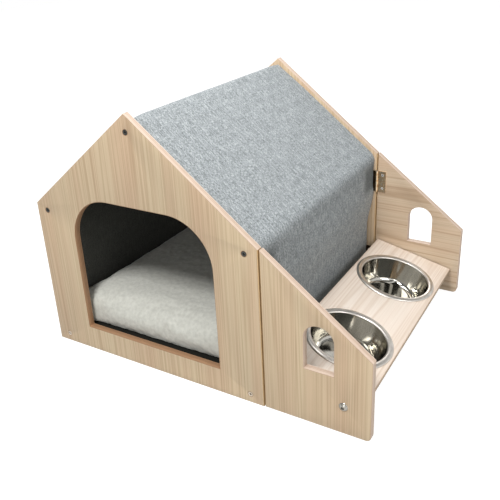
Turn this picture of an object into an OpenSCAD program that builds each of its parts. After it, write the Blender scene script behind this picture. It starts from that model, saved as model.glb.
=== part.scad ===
// Cat house: two plywood gables joined by battens under stretched felt,
// with a folding feeding station of two hinged wings, a sloping shelf and two steel bowls.
// Millimetres, +X along the front, +Y to the rear, +Z up, origin at the bottom centre of the whole.

/* [House] */
// Width of each gable
gable_w = 440; // [400:2:480]
// Height of a gable at its eaves
eave_h = 275; // [260:1:300]
// Height of a gable at its peak
apex_h = 452; // [435:1:475]
// Depth over the outer faces of the gables
house_d = 494; // [450:2:540]
// Thickness of the plywood boards
board_t = 12; // [10:0.5:14]

/* [Doorway] */
// Width of the doorway
door_w = 280; // [220:2:300]
// Height of the sill above the ground
sill_h = 46; // [42:1:60]
// Height of the top of the doorway above the ground
door_top = 300; // [270:1:310]
// Radius of the upper corners of the doorway
door_r = 80; // [30:1:85]

/* [Battens] */
// Width of the ridge batten
ridge_batten_w = 18; // [14:0.5:20]
// Height of the ridge batten
ridge_batten_h = 28; // [24:0.5:30]
// Width of the flat along the top of the ridge batten
ridge_flat = 4; // [3:0.5:8]
// Side of the eave and floor battens
batten_s = 18; // [14:0.5:20]
// Height of the floor battens above the ground
floor_batten_z = 6.5; // [3:0.5:10]

/* [Felt] */
// Thickness of the outer felt
felt_t = 3; // [2:0.25:4]
// Distance of the roof felt below the gable's edge
roof_inset = 7; // [6:0.5:12]
// Distance of the felt from the gable's edge at the top of the wall
wall_inset_top = 4.5; // [4:0.5:8]
// Distance of the felt from the gable's edge at the bottom of the wall
wall_inset_low = 12; // [10:0.5:16]
// Distance of the felt from the gable's edge where the wall is drawn in most
wall_inset_waist = 17; // [10:0.5:18]
// Depth below the eaves down to which the wall stands straight
wall_shoulder_drop = 75; // [50:1:90]
// Heights above the ground between which the wall is drawn in most
wall_waist_low = 62; // [45:1:70]
wall_waist_high = 115; // [90:1:140]
// Radius of the felt's bend at the eaves
eave_r = 25; // [22:0.5:28]
// Radius of the felt's bend at the ridge
ridge_r = 5; // [4.5:0.25:10]
// How far the roof felt is drawn in between its battens
roof_draw = 1; // [0:0.25:3]
// Thickness of the dark lining
lining_t = 3; // [2:0.25:4]

/* [Floor and cushion] */
// Thickness of the floor board
floor_t = 12; // [9:0.5:12]
// Thickness of the felt on the floor
floor_felt_t = 3; // [2:0.25:4]
// Height of the cushion at its middle
cushion_h = 74; // [45:1:90]
// Height of the cushion's widest line above its base
cushion_waist_h = 44; // [15:1:50]
// How far the cushion's long sides are drawn in between its corners
cushion_side_draw = 1; // [0:1:15]
// How far the cushion's ends are drawn in between its corners
cushion_end_draw = 1; // [0:1:25]

/* [Wings] */
// Width of each wing
wing_w = 175; // [150:1:210]
// Height of a wing at its outer edge
wing_tip_h = 138; // [115:1:170]
// Gap between a wing and its gable
wing_gap = 2.5; // [2:0.1:3]
// Gap between a wing and the ground
wing_lift = 1; // [0.5:0.1:3]
// Radius of a wing's lower outer corner
wing_corner_r = 8; // [4:0.5:15]
// Width of the arched window
window_w = 48; // [30:1:60]
// Height of the window's sill above the ground
window_sill_h = 97; // [90:1:110]
// Height of the spring of the window's arch above the ground
window_spring_h = 150; // [130:1:160]
// Distance of the window's middle from the wing's inner edge
window_x = 92; // [70:1:105]

/* [Hinges] */
// Height of a hinge
hinge_h = 44; // [36:1:48]
// Distance of a leaf's outer edge from the pin
leaf_w = 18.5; // [14:0.25:19]
// Thickness of a leaf
leaf_t = 1.5; // [1:0.1:1.6]
// Diameter of the knuckles
knuckle_d = 5; // [4.5:0.1:5.4]
// Diameter of the hinge pin
pin_d = 3; // [2:0.1:3.2]
// Distance of the middle of the upper hinges below the eaves
upper_hinge_drop = 58; // [50:1:80]
// Height of the middle of the lower hinges
lower_hinge_z = 47; // [40:0.5:50]
// Distance of a leaf's screws above and below the hinge's middle
leaf_screw_z = 14; // [9:0.5:15]

/* [Shelf] */
// Slope of the shelf in degrees
shelf_tilt = 13.5; // [8:0.5:15]
// Width of the shelf down its slope
shelf_w = 159; // [152:1:164]
// Distance of the shelf's inner edge from the gable's edge
shelf_inset = 8; // [6:0.5:10]
// Height of the upper face at the shelf's inner edge
shelf_h = 90; // [84:0.5:94]
// Gap between each end of the shelf and its wing
shelf_end_gap = 2.5; // [2:0.1:4]
// Distance of the front bowl's middle from the shelf's front end
front_bowl_y = 123; // [90:1:130]
// Distance of the rear bowl's middle from the shelf's rear end
rear_bowl_y = 114; // [90:1:130]

/* [Shelf supports] */
// Diameter of the shelf bolt's shank
bolt_d = 6; // [5:0.25:7]
// Diameter of the bolt's domed head
bolt_head_d = 14.5; // [12:0.5:18]
// Height of the domed head
bolt_head_h = 3.6; // [2.5:0.1:5]
// Distance of the bolt from the wing's outer edge
bolt_edge = 43.5; // [32:0.5:55]
// Distance of the bolt below the shelf's upper face
bolt_drop = 10.7; // [9:0.1:11]
// Length of shank inside the shelf
bolt_grip = 11; // [6:0.5:16]
// Outside diameter of the threaded insert
insert_d = 9; // [8.5:0.1:11]
// Length of a cleat along the slope
cleat_l = 40; // [30:1:60]
// Height of a cleat
cleat_h = 15; // [12:0.5:20]
// Thickness of a cleat
cleat_t = 10; // [8:0.5:12]
// Gap between a cleat and the lower hinge's leaf
cleat_gap = 4; // [2:0.5:15]

/* [Bowls] */
// Inside radius of a bowl at its mouth
bowl_r = 64; // [56:0.5:66]
// Width of the rolled rim
rim_w = 11; // [8:0.5:12]
// Height of the rolled rim
rim_h = 3; // [2.5:0.1:5]
// Inside radius of a bowl's flat base
bowl_base_r = 50; // [40:0.5:52]
// Inside depth of a bowl below the shelf
bowl_depth = 44; // [30:1:48]
// Radius of the turn from wall to base
bowl_turn_r = 12; // [6:0.5:16]
// Thickness of the steel
bowl_t = 1; // [0.8:0.1:1.4]

/* [Screws] */
// Head diameter of the gable screws
screw_head_d = 8.5; // [7.5:0.1:10.5]
// Shank diameter of the gable screws
screw_d = 4; // [3.5:0.1:5]
// Length of the gable screws
screw_l = 45; // [35:1:60]
// Head diameter of the leaf and cleat screws
small_head_d = 5.6; // [5:0.1:6]
// Shank diameter of the leaf and cleat screws
small_screw_d = 2.8; // [2.4:0.1:3]
// How far the leaf and cleat screws go into a board
small_grip = 8; // [6:0.25:8.5]

/* [Hidden] */
$fn = 48;

// Clearances
fit_gap = 0.05;
seat_gap = 0.3;
run_gap = 0.4;
cleat_seat_gap = 0.6;
notch_gap = 1.5;
hole_gap = 1.5;
cut_over = 1;

// Places along X are measured from the left edge of the gables, and along Y from the front face
total_w = gable_w + wing_gap + wing_w;
mid_x = gable_w / 2;
inner_d = house_d - 2 * board_t;
roof_angle = atan2(apex_h - eave_h, mid_x);

// Bends of the outer felt: their middles lie where the bend touches both the wall and the roof felt
eave_cx = wall_inset_top + eave_r;
eave_cz = eave_h + (eave_cx * sin(roof_angle) - roof_inset - eave_r) / cos(roof_angle);
ridge_cz = eave_h + (mid_x * sin(roof_angle) - roof_inset - ridge_r) / cos(roof_angle);
wall_low_z = floor_batten_z;
wall_shoulder_z = eave_h - wall_shoulder_drop;
wall_foot_z = floor_batten_z + batten_s;

// Battens sit inside the bends: the eave battens touch the felt with a corner, and the ridge batten
// with two faces that are planed to the slopes of the roof
eave_batten_off = (eave_r - felt_t - seat_gap) / sqrt(2) - batten_s / 2;
eave_batten_x = eave_cx - eave_batten_off;
eave_batten_z = eave_cz + eave_batten_off;
ridge_peak_z = ridge_cz + (ridge_r - felt_t - seat_gap) / cos(roof_angle);
ridge_top_z = ridge_peak_z - ridge_flat / 2 * tan(roof_angle);
ridge_shoulder_z = ridge_peak_z - ridge_batten_w / 2 * tan(roof_angle);
ridge_batten_z = ridge_top_z - ridge_batten_h / 2;
floor_batten_x = wall_inset_low + felt_t + seat_gap + batten_s / 2;
floor_batten_mid_z = floor_batten_z + batten_s / 2;

// Lining: walls stand inside the battens, slopes run from the eave battens to the ridge batten
lining_x = max(eave_batten_x, floor_batten_x) + batten_s / 2 + seat_gap;
lining_eave_z = eave_batten_z - batten_s / 2;
lining_ridge_z = ridge_top_z - ridge_batten_h - seat_gap;
lining_ridge_x = mid_x - ridge_batten_w / 2;
lining_angle = atan2(lining_ridge_z - lining_eave_z, lining_ridge_x - lining_x);

// Floor
floor_z = floor_batten_z + batten_s;
floor_felt_z = floor_z + floor_t;
floor_top_z = floor_felt_z + floor_felt_t;
floor_x = wall_inset_low + felt_t + batten_s / 4;

// Cushion: half sizes at its corners
cushion_end_gap = 4;
cushion_a = mid_x - lining_x - lining_t - run_gap;
cushion_b = inner_d / 2 - cushion_end_gap;
cushion_base_z = floor_top_z + seat_gap;
cushion_squareness = 14;
cushion_sides = 48;
shoulder_share = 0.72;

// Wings and hinges
wing_x = gable_w + wing_gap;
hinge_x = gable_w + wing_gap / 2;
knuckle_lift = 0.2;
hinge_y = board_t + knuckle_lift + knuckle_d / 2;
knuckle_gap = 0.3;
plate_x = knuckle_d / 2 + knuckle_gap;
leaf_screw_x = (plate_x + leaf_w) / 2 + 1;
pin_head_h = 1;
pin_head_d = knuckle_d - 0.6;
upper_hinge_z = eave_h - upper_hinge_drop;
leaf_hinges = [upper_hinge_z, lower_hinge_z];

// Shelf and what carries it
shelf_x = gable_w + shelf_inset;
shelf_t = board_t;
shelf_l = inner_d - 2 * shelf_end_gap;
shelf_y = board_t + shelf_end_gap;
bowl_x = shelf_w / 2;
bowl_hole_r = bowl_r + bowl_t + hole_gap;
bolt_x = total_w - bolt_edge;
bolt_z = shelf_h - (bolt_x - shelf_x) * tan(shelf_tilt) - bolt_drop;
insert_l = board_t - 2;
socket_d = bolt_head_d * 0.38;
cleat_z = -shelf_t - cleat_seat_gap;
cleat_lean = (shelf_t + cleat_seat_gap + cleat_h) * sin(shelf_tilt);
cleat_inset = (hinge_x + leaf_w + cleat_gap + cleat_lean - shelf_x) / cos(shelf_tilt);
cleat_screw_xs = [cleat_inset + cleat_l / 4, cleat_inset + cleat_l * 3 / 4];
cleat_screw_z = cleat_z - cleat_h / 2;
rim_base_z = seat_gap;

// Colours
wood = [0.80, 0.68, 0.54];
batten_wood = [0.86, 0.76, 0.60];
felt_grey = [0.70, 0.73, 0.75];
felt_black = [0.14, 0.14, 0.13];
plush_white = [0.93, 0.93, 0.90];
steel = [0.78, 0.79, 0.80];
bronze = [0.36, 0.27, 0.17];

// Moves from places measured at the left front corner to the origin
module placed() { translate([-total_w / 2, -house_d / 2, 0]) children(); }

// Draws the front piece, or its mirror image at the rear
module at_end(end) {
  if (end == "front") placed() children();
  else placed() translate([0, house_d, 0]) mirror([0, 1, 0]) children();
}

// Stands an outline in X and Z up as a board whose outer face is at y
module upright(y, t) { translate([0, y + t, 0]) rotate([90, 0, 0]) linear_extrude(t) children(); }

// Places a shape on the shelf: x down the slope, z square to its upper face
module on_shelf() { translate([shelf_x, 0, shelf_h]) rotate([0, shelf_tilt, 0]) children(); }

// A straight bore along Y
module bore_y(x, y, z, d, l) { translate([x, y, z]) rotate([-90, 0, 0]) cylinder(d = d, h = l); }

// Flat countersunk screw along +Y, its head flush at y = 0
module flat_screw(head_d, d, l) {
  head_l = (head_d - d) / 2;
  slot_w = head_d / 8;
  slot_l = head_d * 0.55;
  difference() {
    rotate([-90, 0, 0]) union() {
      cylinder(d1 = head_d, d2 = d, h = head_l);
      cylinder(d = d, h = l);
    }
    for (turn = [0, 90]) {
      rotate([0, turn, 0]) cube([slot_l, head_l, slot_w], center = true);
    }
  }
}

// The room that a flat countersunk screw takes, with its fit
module flat_screw_room(head_d, d, l) {
  head_l = (head_d - d) / 2;
  rotate([-90, 0, 0]) union() {
    translate([0, 0, -cut_over]) cylinder(d = head_d + 2 * fit_gap, h = cut_over + fit_gap);
    translate([0, 0, fit_gap]) cylinder(d1 = head_d + 2 * fit_gap, d2 = d + 2 * fit_gap, h = head_l);
    cylinder(d = d + 2 * fit_gap, h = l + seat_gap);
  }
}

// Places of the five screws in a gable
gable_screw_spots = [
  [mid_x, ridge_batten_z],
  [eave_batten_x, eave_batten_z],
  [gable_w - eave_batten_x, eave_batten_z],
  [floor_batten_x, floor_batten_mid_z],
  [gable_w - floor_batten_x, floor_batten_mid_z]
];

// Outline of a gable
module gable_outline() {
  polygon([[0, 0], [gable_w, 0], [gable_w, eave_h], [mid_x, apex_h], [0, eave_h]]);
}

// Outline of the doorway: square at the sill, round at its upper corners
module door_outline() {
  left = mid_x - door_w / 2;
  union() {
    translate([left, sill_h]) square([door_w, door_top - door_r - sill_h]);
    translate([left + door_r, sill_h]) square([door_w - 2 * door_r, door_top - sill_h]);
    for (x = [left + door_r, left + door_w - door_r]) translate([x, door_top - door_r]) circle(door_r);
  }
}

// Cuts in a gable for its screws and for the screws of its hinge leaves
module gable_screw_cuts() {
  for (spot = gable_screw_spots) {
    translate([spot.x, 0, spot.y]) flat_screw_room(screw_head_d, screw_d, screw_l);
  }
  gable_leaf_screw_cuts();
}

module gable_leaf_screw_cuts() {
  for (z = leaf_hinges, side = [-1, 1]) {
    bore_y(hinge_x - leaf_screw_x, board_t - small_grip - seat_gap, z + side * leaf_screw_z,
      small_screw_d + 2 * fit_gap, small_grip + seat_gap + cut_over);
  }
}

module front_gable() {
  color(wood) at_end("front") difference() {
    upright(0, board_t) difference() {
      gable_outline();
      door_outline();
    }
    gable_screw_cuts();
  }
}

module rear_gable() {
  color(wood) at_end("rear") difference() {
    upright(0, board_t) gable_outline();
    gable_screw_cuts();
  }
}

module gable_screws(end) {
  color(steel) at_end(end) for (spot = gable_screw_spots) {
    translate([spot.x, 0, spot.y]) flat_screw(screw_head_d, screw_d, screw_l);
  }
}

// Section of the ridge batten
module ridge_section() {
  polygon([
    for (corner = [
      [-ridge_batten_w / 2, ridge_top_z - ridge_batten_h], [ridge_batten_w / 2, ridge_top_z - ridge_batten_h],
      [ridge_batten_w / 2, ridge_shoulder_z], [ridge_flat / 2, ridge_top_z],
      [-ridge_flat / 2, ridge_top_z], [-ridge_batten_w / 2, ridge_shoulder_z]
    ]) [mid_x, 0] + corner
  ]);
}

// A batten of a given section between the gables, drilled at (x, z) for a screw at each end
module batten(x, z) {
  bore_l = screw_l - board_t + seat_gap;
  color(batten_wood) placed() difference() {
    upright(board_t, inner_d) children();
    for (y = [board_t - cut_over, house_d - board_t - bore_l]) {
      bore_y(x, y, z, screw_d + 2 * fit_gap, bore_l + cut_over);
    }
  }
}

module square_batten(x, z) { batten(x, z) translate([x, z]) square(batten_s, center = true); }

// Left half of the felt's outline, d inside its outer face, from the foot of the wall to the ridge
wall_steps = 12;
bend_steps = 6;
roof_steps = 6;
function eased(u) = let(v = min(max(u, 0), 1)) v * v * (3 - 2 * v);
function wall_x(z) = wall_inset_top
  + (wall_inset_waist - wall_inset_top) * eased((wall_shoulder_z - z) / (wall_shoulder_z - wall_waist_high))
  - (wall_inset_waist - wall_inset_low) * eased((wall_waist_low - z) / (wall_waist_low - wall_foot_z));
function wall_points(d) = [
  for (i = [0:wall_steps - 1]) let(z = wall_low_z + (eave_cz - wall_low_z) * i / wall_steps) [wall_x(z) + d, z]
];
function bend_points(x, z, r, from, to) = [
  for (i = [0:bend_steps]) let(a = from + (to - from) * i / bend_steps) [x + r * cos(a), z + r * sin(a)]
];
function roof_point(u, d) = let(
  x = eave_cx + (mid_x - eave_cx) * u,
  z = eave_cz + (ridge_cz - eave_cz) * u,
  r = eave_r + (ridge_r - eave_r) * u - d - roof_draw * pow(sin(180 * u), 2)
) [x - r * sin(roof_angle), z + r * cos(roof_angle)];
function half_felt(d) = concat(
  wall_points(d),
  bend_points(eave_cx, eave_cz, eave_r - d, 180, 90 + roof_angle),
  [for (i = [1:roof_steps - 1]) roof_point(i / roof_steps, d)],
  bend_points(mid_x, ridge_cz, ridge_r - d, 90 + roof_angle, 90)
);
function other_half(points) = [
  for (i = [len(points) - 2:-1:0]) [gable_w - points[i].x, points[i].y]
];
function felt_outline(d) = concat(half_felt(d), other_half(half_felt(d)));
function turned(points) = [for (i = [len(points) - 1:-1:0]) points[i]];

// Pockets in the felt's ends over the hinge leaves
module leaf_pockets() {
  pocket_d = leaf_t + seat_gap;
  for (z = leaf_hinges) {
    translate([hinge_x - leaf_w - run_gap, board_t, z - hinge_h / 2 - run_gap])
      cube([leaf_w + cut_over, pocket_d, hinge_h + 2 * run_gap]);
  }
}

module felt_cover() {
  color(felt_grey) difference() {
    placed() upright(board_t + seat_gap, inner_d - 2 * seat_gap)
      polygon(concat(felt_outline(0), turned(felt_outline(felt_t))));
    for (end = ["front", "rear"]) at_end(end) leaf_pockets();
  }
}

// Left half of the lining's outline, d inside its outer face
function half_lining(d) = [
  [lining_x + d, floor_top_z + seat_gap],
  [lining_x + d, lining_eave_z - d * (1 - sin(lining_angle)) / cos(lining_angle)],
  [
    lining_x + (d + (lining_ridge_z - d - lining_eave_z) * cos(lining_angle)) / sin(lining_angle),
    lining_ridge_z - d
  ],
  [mid_x, lining_ridge_z - d]
];
function lining_outline(d) = concat(half_lining(d), other_half(half_lining(d)));

module felt_lining() {
  color(felt_black) placed() upright(board_t + seat_gap, inner_d - 2 * seat_gap)
    polygon(concat(lining_outline(0), turned(lining_outline(lining_t))));
}

// A flat layer of the floor, laid between the felt walls
module floor_layer(z, t) {
  placed() translate([floor_x, board_t + seat_gap, z])
    cube([gable_w - 2 * floor_x, inner_d - 2 * seat_gap, t]);
}

module floor_board() { color(batten_wood) floor_layer(floor_z, floor_t); }

module floor_felt() { color(felt_black) floor_layer(floor_felt_z, floor_felt_t); }

// Cushion: rings of an outline that is full at the corners and drawn in between them.
// Each ring has a spread, as a share of the full outline, and a height.
function power(v, n) = sign(v) * pow(abs(v), n);
function cushion_at(angle, spread, z) = let(
  bow = spread * pow(cos(2 * angle), 2),
  x = power(cos(angle), 2 / cushion_squareness),
  y = power(sin(angle), 2 / cushion_squareness)
) [(cushion_a * spread - cushion_side_draw * bow) * x, (cushion_b * spread - cushion_end_draw * bow) * y, z];
cushion_under = [[0.978, 0], [0.992, 0.1], [0.999, 0.4], [1, 1]];
cushion_over = [for (a = [18:18:72]) [1 - 0.14 * (1 - cos(a)), sin(a) * shoulder_share]];
cushion_dome = [
  for (s = [0.8, 0.6, 0.4, 0.2]) [s, shoulder_share + (1 - shoulder_share) * (1 - s * s) / (1 - 0.04)]
];
cushion_crown_h = cushion_h - cushion_waist_h;
cushion_rings = concat(
  [for (r = cushion_under) [r.x, cushion_waist_h * r.y]],
  [for (r = cushion_over) [r.x, cushion_waist_h + cushion_crown_h * r.y]],
  [for (r = cushion_dome) [r.x, cushion_waist_h + cushion_crown_h * r.y]]
);
cushion_points = [
  for (ring = cushion_rings, i = [0:cushion_sides - 1])
    cushion_at((i + 0.5) * 360 / cushion_sides, ring.x, ring.y)
];
function ring_faces(ring, n) = [
  for (i = [0:n - 1]) let(a = ring * n + i, b = ring * n + (i + 1) % n)
    each [[a, a + n, b], [b, a + n, b + n]]
];
cushion_faces = concat(
  [[for (i = [0:cushion_sides - 1]) i]],
  [for (ring = [0:len(cushion_rings) - 2]) each ring_faces(ring, cushion_sides)],
  [[for (i = [cushion_sides - 1:-1:0]) (len(cushion_rings) - 1) * cushion_sides + i]]
);

module cushion() {
  color(plush_white) placed() translate([mid_x, house_d / 2, cushion_base_z])
    polyhedron(cushion_points, cushion_faces);
}

// Hinge: the gable leaf carries the outer two knuckles and the wing leaf the middle one
knuckle_h = (hinge_h - 2 * knuckle_gap) / 3;
gable_knuckles = [0, 2 * (knuckle_h + knuckle_gap)];
wing_knuckles = [knuckle_h + knuckle_gap];

// A leaf that reaches to +X from a pin at x = 0, lying on a board whose face is at y = board_t
module leaf(knuckles) {
  screw_y = board_t + leaf_t;
  difference() {
    union() {
      translate([plate_x, board_t, -hinge_h / 2]) cube([leaf_w - plate_x, leaf_t, hinge_h]);
      for (z = knuckles) {
        translate([0, board_t, z - hinge_h / 2]) cube([plate_x + cut_over, leaf_t, knuckle_h]);
        translate([0, hinge_y, z - hinge_h / 2]) cylinder(d = knuckle_d, h = knuckle_h);
      }
    }
    translate([0, hinge_y, -hinge_h]) cylinder(d = pin_d + 2 * fit_gap, h = 2 * hinge_h);
    for (side = [-1, 1]) {
      translate([leaf_screw_x, screw_y, side * leaf_screw_z]) rotate([0, 0, 180])
        flat_screw_room(small_head_d, small_screw_d, leaf_t + cut_over);
    }
  }
}

module wing_leaf(end, z) {
  color(bronze) at_end(end) translate([hinge_x, 0, z]) leaf(wing_knuckles);
}

module gable_leaf(end, z) {
  color(bronze) at_end(end) translate([hinge_x, 0, z]) mirror([1, 0, 0]) leaf(gable_knuckles);
}

module hinge_pin(end, z) {
  color(steel) at_end(end) translate([hinge_x, hinge_y, z - hinge_h / 2]) union() {
    cylinder(d = pin_d, h = hinge_h + fit_gap);
    translate([0, 0, hinge_h + fit_gap]) cylinder(d = pin_head_d, h = pin_head_h);
  }
}

// Screws of the leaves on one board, on the gable's side (-1) or the wing's side (1) of the pin
module leaf_screws(end, reach) {
  color(steel) at_end(end) for (z = leaf_hinges, side = [-1, 1]) {
    translate([hinge_x + reach * leaf_screw_x, board_t + leaf_t, z + side * leaf_screw_z])
      rotate([0, 0, 180]) flat_screw(small_head_d, small_screw_d, leaf_t + small_grip);
  }
}

// Outline of a wing: its top slopes down from the eaves, its lower outer corner is round
module wing_outline() {
  right = wing_x + wing_w;
  corner = wing_corner_r;
  union() {
    polygon([
      [wing_x, wing_lift], [right - corner, wing_lift], [right - corner, wing_lift + corner],
      [right, wing_lift + corner], [right, wing_tip_h], [wing_x, eave_h]
    ]);
    translate([right - corner, wing_lift + corner]) circle(corner);
  }
}

module window_outline() {
  translate([wing_x + window_x, 0]) union() {
    translate([-window_w / 2, window_sill_h]) square([window_w, window_spring_h - window_sill_h]);
    translate([0, window_spring_h]) circle(d = window_w);
  }
}

module wing(end) {
  color(wood) at_end(end) difference() {
    upright(0, board_t) difference() {
      wing_outline();
      window_outline();
    }
    bore_y(bolt_x, -cut_over, bolt_z, bolt_d + 2 * fit_gap, board_t + 2 * cut_over);
    bore_y(bolt_x, board_t - insert_l, bolt_z, insert_d + 2 * fit_gap, insert_l + cut_over);
    for (z = leaf_hinges, side = [-1, 1]) {
      bore_y(hinge_x + leaf_screw_x, board_t - small_grip - seat_gap, z + side * leaf_screw_z,
        small_screw_d + 2 * fit_gap, small_grip + seat_gap + cut_over);
    }
    cleat_screw_room();
  }
}

// Domed bolt: the head lies on the wing's outer face and the shank reaches under the shelf
module shelf_bolt(end) {
  dome_r = (bolt_head_d * bolt_head_d / 4 + bolt_head_h * bolt_head_h) / (2 * bolt_head_h);
  shank_l = board_t + shelf_end_gap + bolt_grip;
  socket_l = bolt_head_h * 0.7;
  color(steel) at_end(end) translate([bolt_x, 0, bolt_z]) rotate([-90, 0, 0]) union() {
    difference() {
      intersection() {
        translate([0, 0, dome_r - bolt_head_h]) sphere(dome_r);
        translate([0, 0, -bolt_head_h]) cylinder(d = bolt_head_d, h = bolt_head_h);
      }
      translate([0, 0, -bolt_head_h - cut_over]) cylinder(d = socket_d, h = socket_l + cut_over, $fn = 6);
    }
    cylinder(d = bolt_d, h = shank_l);
  }
}

module bolt_insert(end) {
  color(steel) at_end(end) difference() {
    bore_y(bolt_x, board_t - insert_l + fit_gap, bolt_z, insert_d, insert_l - fit_gap);
    bore_y(bolt_x, 0, bolt_z, bolt_d + 2 * fit_gap, board_t + cut_over);
  }
}

// Cleat on the wing's inner face, its top parallel to the shelf
module cleat_screw_room() {
  for (x = cleat_screw_xs) on_shelf() translate([x, board_t + cleat_t, cleat_screw_z])
    rotate([0, 0, 180]) flat_screw_room(small_head_d, small_screw_d, cleat_t + small_grip);
}

module cleat(end) {
  color(batten_wood) at_end(end) difference() {
    on_shelf() translate([cleat_inset, board_t, cleat_z - cleat_h]) cube([cleat_l, cleat_t, cleat_h]);
    cleat_screw_room();
  }
}

module cleat_screws(end) {
  color(steel) at_end(end) for (x = cleat_screw_xs) on_shelf()
    translate([x, board_t + cleat_t, cleat_screw_z]) rotate([0, 0, 180])
      flat_screw(small_head_d, small_screw_d, cleat_t + small_grip);
}

// Shelf: two holes for the bowls, and a notch at each end that drops over the bolt's shank
module shelf_notch() {
  notch_w = bolt_d + 2 * notch_gap;
  notch_l = bolt_grip + notch_gap + cut_over;
  notch_top = bolt_z + bolt_d / 2 + seat_gap;
  translate([bolt_x - notch_w / 2, shelf_y - cut_over, notch_top - 2 * shelf_t])
    cube([notch_w, notch_l, 2 * shelf_t]);
}

module bowl_spots(end) {
  bowl_y = end == "front" ? front_bowl_y : rear_bowl_y;
  at_end(end) on_shelf() translate([bowl_x, shelf_y + bowl_y, 0]) children();
}

module shelf() {
  color(wood) difference() {
    placed() on_shelf() translate([0, shelf_y, -shelf_t]) cube([shelf_w, shelf_l, shelf_t]);
    for (end = ["front", "rear"]) {
      bowl_spots(end) translate([0, 0, -2 * shelf_t]) cylinder(r = bowl_hole_r, h = 4 * shelf_t);
      at_end(end) shelf_notch();
    }
  }
}

// Bowl section: a tapered wall on a round turn, and a bead that rises from the mouth and rolls down to the shelf
wall_lean = atan2(bowl_r - bowl_base_r, bowl_depth + rim_base_z);
turn_z = bowl_turn_r - bowl_depth;
turn_r = bowl_base_r + bowl_turn_r * tan(wall_lean) - bowl_turn_r / cos(wall_lean);
turn_steps = 6;
lip_steps = 12;
function bowl_turn(r) = [
  for (i = [0:turn_steps]) let(a = -90 + (90 - wall_lean) * i / turn_steps)
    [turn_r + r * cos(a), turn_z + r * sin(a)]
];
function lip(t) = [
  for (i = [0:lip_steps]) let(a = -90 + 180 * i / lip_steps)
    [bowl_r + rim_w / 2 + (rim_w / 2 - t) * sin(a), rim_base_z + (rim_h - t) * cos(a)]
];
bowl_section = concat(
  [[0, -bowl_depth]], bowl_turn(bowl_turn_r), lip(0),
  turned(lip(bowl_t)), turned(bowl_turn(bowl_turn_r + bowl_t)), [[0, -bowl_depth - bowl_t]]
);

module bowl(end) { color(steel) bowl_spots(end) rotate_extrude($fn = 96) polygon(bowl_section); }

front_gable();
rear_gable();
batten(mid_x, ridge_batten_z) ridge_section();  // ridge_batten
square_batten(eave_batten_x, eave_batten_z);  // left_eave_batten
square_batten(gable_w - eave_batten_x, eave_batten_z);  // right_eave_batten
square_batten(floor_batten_x, floor_batten_mid_z);  // left_floor_batten
square_batten(gable_w - floor_batten_x, floor_batten_mid_z);  // right_floor_batten
felt_cover();
felt_lining();
floor_board();
floor_felt();
cushion();
shelf();
for (end = ["front", "rear"]) {
  gable_screws(end);
  for (hinge = [["upper", upper_hinge_z], ["lower", lower_hinge_z]]) {
    gable_leaf(end, hinge[1]);
    hinge_pin(end, hinge[1]);
    wing_leaf(end, hinge[1]);
  }
  leaf_screws(end, -1);
  wing(end);
  leaf_screws(end, 1);
  shelf_bolt(end);
  bolt_insert(end);
  cleat(end);
  cleat_screws(end);
  bowl(end);
}
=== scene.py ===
import math

import bmesh
import bpy
from mathutils import Matrix, Vector, noise


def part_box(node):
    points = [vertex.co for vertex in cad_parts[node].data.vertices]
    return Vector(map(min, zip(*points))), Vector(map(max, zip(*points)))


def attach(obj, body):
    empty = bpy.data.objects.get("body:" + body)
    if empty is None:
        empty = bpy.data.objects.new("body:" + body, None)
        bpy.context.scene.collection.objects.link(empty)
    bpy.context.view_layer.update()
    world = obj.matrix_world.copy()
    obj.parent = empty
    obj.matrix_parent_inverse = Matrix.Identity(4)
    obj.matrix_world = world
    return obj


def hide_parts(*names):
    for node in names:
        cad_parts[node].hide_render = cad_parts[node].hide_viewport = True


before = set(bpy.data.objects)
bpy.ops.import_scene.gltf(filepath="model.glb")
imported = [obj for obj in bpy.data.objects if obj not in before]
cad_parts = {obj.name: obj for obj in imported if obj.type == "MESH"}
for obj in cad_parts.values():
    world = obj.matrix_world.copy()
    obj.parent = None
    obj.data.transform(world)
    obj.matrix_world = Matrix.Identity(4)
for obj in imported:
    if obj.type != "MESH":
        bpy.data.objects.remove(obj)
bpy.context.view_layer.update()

# Sizes in metres, the same as the solids have
mm = 0.001
eave_h = 275 * mm
door_w = 280 * mm
sill_h = 46 * mm
door_top = 300 * mm
door_r = 80 * mm
screw_hole_r = 4.3 * mm
wing_tip_h = 138 * mm
wing_corner_r = 8 * mm
window_w = 48 * mm
window_x = 92 * mm
window_sill_h = 97 * mm
window_spring_h = 150 * mm
insert_hole_r = 4.55 * mm
knuckle_r = 3 * mm
felt_t = 3 * mm
sheet_edge_r = 0.7 * mm
roof_inset = 7 * mm
wall_inset_top = 4.5 * mm
wall_inset_waist = 17 * mm
wall_inset_low = 12 * mm
wall_shoulder_z = eave_h - 75 * mm
wall_waist_high = 115 * mm
wall_waist_low = 62 * mm
eave_r = 25 * mm
ridge_r = 5 * mm
shelf_tilt = math.radians(13.5)
shelf_w = 159 * mm
notch_w = 9 * mm
notch_l = 12.5 * mm
notch_rise = 3.3 * mm
bowl_hole_r = 66.5 * mm
front_bowl_y = 123 * mm
rear_bowl_y = 114 * mm
bowl_r = 64 * mm
bowl_rim_w = 11 * mm
bowl_rim_h = 3 * mm
bowl_lift = 0.3 * mm
bowl_base_r = 50 * mm
bowl_depth = 44 * mm
bowl_turn_r = 12 * mm
bowl_t = 1 * mm

# Places, read from the frame
gable_lo, gable_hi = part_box("front_gable")
rear_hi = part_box("rear_gable")[1]
wing_lo, wing_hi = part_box("front_wing")
shelf_lo, shelf_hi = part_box("shelf")
left, right = gable_lo.x, gable_hi.x
front, rear = gable_lo.y, rear_hi.y
mid_x = (left + right) / 2
apex_h = gable_hi.z
board_t = gable_hi.y - gable_lo.y
roof_angle = math.atan2(apex_h - eave_h, mid_x - left)


# Colours and materials

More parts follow.
